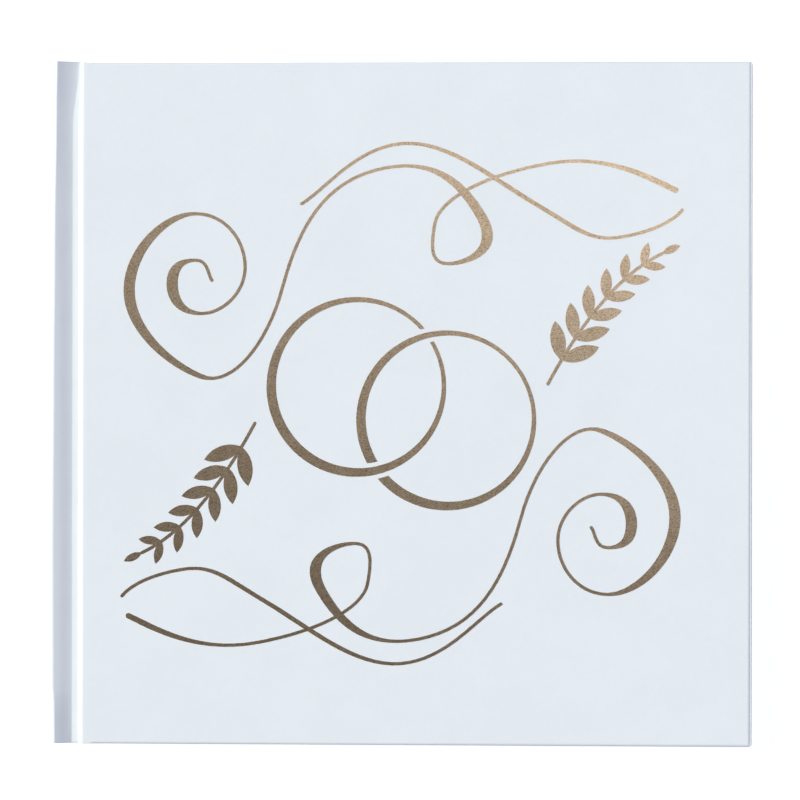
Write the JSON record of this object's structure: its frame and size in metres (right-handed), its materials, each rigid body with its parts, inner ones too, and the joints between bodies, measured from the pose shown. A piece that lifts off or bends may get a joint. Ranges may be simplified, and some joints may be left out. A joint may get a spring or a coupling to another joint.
{
  "type": "wedding guest book",
  "caption": "Square hardcover guest book with a white paper case, gold foil rings and flourishes on the front, and sewn blank leaves that turn.",
  "frame": {"origin": "centre of the closed book's box, on the back cover's outer face", "axes": "+X from the spine to the fore-edge, +Y to the head, +Z from the back cover to the front cover"},
  "size_m": [0.21, 0.205, 0.0096],
  "materials": {
    "cover_paper": "matt laminated, cool white",
    "gold_foil": "hot-stamped champagne gold foil, satin with a fine grain",
    "grey_board": "raw grey board",
    "endpaper": "smooth uncoated, white",
    "page_paper": "uncoated, warm white",
    "kraft_paper": "brown kraft",
    "mull_cloth": "open cotton weave",
    "linen_thread": "twisted and waxed",
    "band_cloth": "woven with a beaded edge"
  },
  "bodies": {
    "back_cover": {"back_board": "grey_board", "back_cover_paper": "cover_paper", "back_pastedown": "endpaper"},
    "spine": {"spine_paper": "cover_paper", "spine_inlay": "grey_board", "spine_lining": "kraft_paper", "mull": "mull_cloth", "headband": "band_cloth", "tailband": "band_cloth", "section_1_folds": "page_paper", "section_2_folds": "page_paper", "section_3_folds": "page_paper", "section_1_thread": "linen_thread", "section_2_thread": "linen_thread", "section_3_thread": "linen_thread", "front_endpaper_fold": "endpaper", "back_endpaper_fold": "endpaper"},
    "front_cover": {"front_board": "grey_board", "front_cover_paper": "cover_paper", "front_pastedown": "endpaper", "foil_rings": "gold_foil", "foil_flourishes": "gold_foil", "foil_sprigs": "gold_foil"},
    "turning_front_flyleaf": {"front_flyleaf": "endpaper"},
    "turning_leaf_01": {"leaf_01": "page_paper"},
    "turning_leaf_02": {"leaf_02": "page_paper"},
    "turning_leaf_03": {"leaf_03": "page_paper"},
    "turning_leaf_04": {"leaf_04": "page_paper"},
    "turning_leaf_05": {"leaf_05": "page_paper"},
    "turning_leaf_06": {"leaf_06": "page_paper"},
    "turning_leaf_07": {"leaf_07": "page_paper"},
    "turning_leaf_08": {"leaf_08": "page_paper"},
    "turning_leaf_09": {"leaf_09": "page_paper"},
    "turning_back_flyleaf": {"back_flyleaf": "endpaper"},
    "turning_leaf_18": {"leaf_18": "page_paper"},
    "turning_leaf_17": {"leaf_17": "page_paper"},
    "turning_leaf_16": {"leaf_16": "page_paper"},
    "turning_leaf_15": {"leaf_15": "page_paper"},
    "turning_leaf_14": {"leaf_14": "page_paper"},
    "turning_leaf_13": {"leaf_13": "page_paper"},
    "turning_leaf_12": {"leaf_12": "page_paper"},
    "turning_leaf_11": {"leaf_11": "page_paper"},
    "turning_leaf_10": {"leaf_10": "page_paper"}
  },
  "joints": [
    {"name": "back_joint", "type": "hinge", "parent": "back_cover", "child": "spine", "pos_m": [-0.104, 0, 0.001], "axis": [0, -1, 0], "range_deg": [0, 90]},
    {"name": "front_joint", "type": "hinge", "parent": "spine", "child": "front_cover", "pos_m": [-0.104, 0, 0.0086], "axis": [0, -1, 0], "range_deg": [0, 90]},
    {"name": "turn_front_flyleaf", "type": "hinge", "parent": "spine", "child": "turning_front_flyleaf", "pos_m": [-0.1024, 0, 0.00679], "axis": [0, -1, 0], "range_deg": [0, 88.4]},
    {"name": "turn_leaf_01", "type": "hinge", "parent": "spine", "child": "turning_leaf_01", "pos_m": [-0.1024, 0, 0.00658], "axis": [0, -1, 0], "range_deg": [0, 87.55]},
    {"name": "turn_leaf_02", "type": "hinge", "parent": "spine", "child": "turning_leaf_02", "pos_m": [-0.1024, 0, 0.00637], "axis": [0, -1, 0], "range_deg": [0, 86.7]},
    {"name": "turn_leaf_03", "type": "hinge", "parent": "spine", "child": "turning_leaf_03", "pos_m": [-0.1024, 0, 0.00617], "axis": [0, -1, 0], "range_deg": [0, 85.85]},
    {"name": "turn_leaf_04", "type": "hinge", "parent": "spine", "child": "turning_leaf_04", "pos_m": [-0.1024, 0, 0.00596], "axis": [0, -1, 0], "range_deg": [0, 85]},
    {"name": "turn_leaf_05", "type": "hinge", "parent": "spine", "child": "turning_leaf_05", "pos_m": [-0.1024, 0, 0.00575], "axis": [0, -1, 0], "range_deg": [0, 84.15]},
    {"name": "turn_leaf_06", "type": "hinge", "parent": "spine", "child": "turning_leaf_06", "pos_m": [-0.1024, 0, 0.00553], "axis": [0, -1, 0], "range_deg": [0, 83.3]},
    {"name": "turn_leaf_07", "type": "hinge", "parent": "spine", "child": "turning_leaf_07", "pos_m": [-0.1024, 0, 0.00532], "axis": [0, -1, 0], "range_deg": [0, 82.45]},
    {"name": "turn_leaf_08", "type": "hinge", "parent": "spine", "child": "turning_leaf_08", "pos_m": [-0.1024, 0, 0.00511], "axis": [0, -1, 0], "range_deg": [0, 81.6]},
    {"name": "turn_leaf_09", "type": "hinge", "parent": "spine", "child": "turning_leaf_09", "pos_m": [-0.1024, 0, 0.0049], "axis": [0, -1, 0], "range_deg": [0, 80.75]},
    {"name": "turn_back_flyleaf", "type": "hinge", "parent": "spine", "child": "turning_back_flyleaf", "pos_m": [-0.1024, 0, 0.00281], "axis": [0, -1, 0], "range_deg": [-88.4, 0]},
    {"name": "turn_leaf_18", "type": "hinge", "parent": "spine", "child": "turning_leaf_18", "pos_m": [-0.1024, 0, 0.00301], "axis": [0, -1, 0], "range_deg": [-87.55, 0]},
    {"name": "turn_leaf_17", "type": "hinge", "parent": "spine", "child": "turning_leaf_17", "pos_m": [-0.1024, 0, 0.00323], "axis": [0, -1, 0], "range_deg": [-86.7, 0]},
    {"name": "turn_leaf_16", "type": "hinge", "parent": "spine", "child": "turning_leaf_16", "pos_m": [-0.1024, 0, 0.00344], "axis": [0, -1, 0], "range_deg": [-85.85, 0]},
    {"name": "turn_leaf_15", "type": "hinge", "parent": "spine", "child": "turning_leaf_15", "pos_m": [-0.1024, 0, 0.00364], "axis": [0, -1, 0], "range_deg": [-85, 0]},
    {"name": "turn_leaf_14", "type": "hinge", "parent": "spine", "child": "turning_leaf_14", "pos_m": [-0.1024, 0, 0.00385], "axis": [0, -1, 0], "range_deg": [-84.15, 0]},
    {"name": "turn_leaf_13", "type": "hinge", "parent": "spine", "child": "turning_leaf_13", "pos_m": [-0.1024, 0, 0.00407], "axis": [0, -1, 0], "range_deg": [-83.3, 0]},
    {"name": "turn_leaf_12", "type": "hinge", "parent": "spine", "child": "turning_leaf_12", "pos_m": [-0.1024, 0, 0.00428], "axis": [0, -1, 0], "range_deg": [-82.45, 0]},
    {"name": "turn_leaf_11", "type": "hinge", "parent": "spine", "child": "turning_leaf_11", "pos_m": [-0.1024, 0, 0.00449], "axis": [0, -1, 0], "range_deg": [-81.6, 0]},
    {"name": "turn_leaf_10", "type": "hinge", "parent": "spine", "child": "turning_leaf_10", "pos_m": [-0.1024, 0, 0.0047], "axis": [0, -1, 0], "range_deg": [-80.75, 0]}
  ],
  "couplings": [
    {"joint": "turn_front_flyleaf", "follows": "front_joint", "ratio": 0.98222},
    {"joint": "turn_leaf_01", "follows": "front_joint", "ratio": 0.97278},
    {"joint": "turn_leaf_02", "follows": "front_joint", "ratio": 0.96333},
    {"joint": "turn_leaf_03", "follows": "front_joint", "ratio": 0.95389},
    {"joint": "turn_leaf_04", "follows": "front_joint", "ratio": 0.94444},
    {"joint": "turn_leaf_05", "follows": "front_joint", "ratio": 0.935},
    {"joint": "turn_leaf_06", "follows": "front_joint", "ratio": 0.92556},
    {"joint": "turn_leaf_07", "follows": "front_joint", "ratio": 0.91611},
    {"joint": "turn_leaf_08", "follows": "front_joint", "ratio": 0.90667},
    {"joint": "turn_leaf_09", "follows": "front_joint", "ratio": 0.89722},
    {"joint": "turn_back_flyleaf", "follows": "back_joint", "ratio": -0.98222},
    {"joint": "turn_leaf_18", "follows": "back_joint", "ratio": -0.97278},
    {"joint": "turn_leaf_17", "follows": "back_joint", "ratio": -0.96333},
    {"joint": "turn_leaf_16", "follows": "back_joint", "ratio": -0.95389},
    {"joint": "turn_leaf_15", "follows": "back_joint", "ratio": -0.94444},
    {"joint": "turn_leaf_14", "follows": "back_joint", "ratio": -0.935},
    {"joint": "turn_leaf_13", "follows": "back_joint", "ratio": -0.92556},
    {"joint": "turn_leaf_12", "follows": "back_joint", "ratio": -0.91611},
    {"joint": "turn_leaf_11", "follows": "back_joint", "ratio": -0.90667},
    {"joint": "turn_leaf_10", "follows": "back_joint", "ratio": -0.89722}
  ]
}
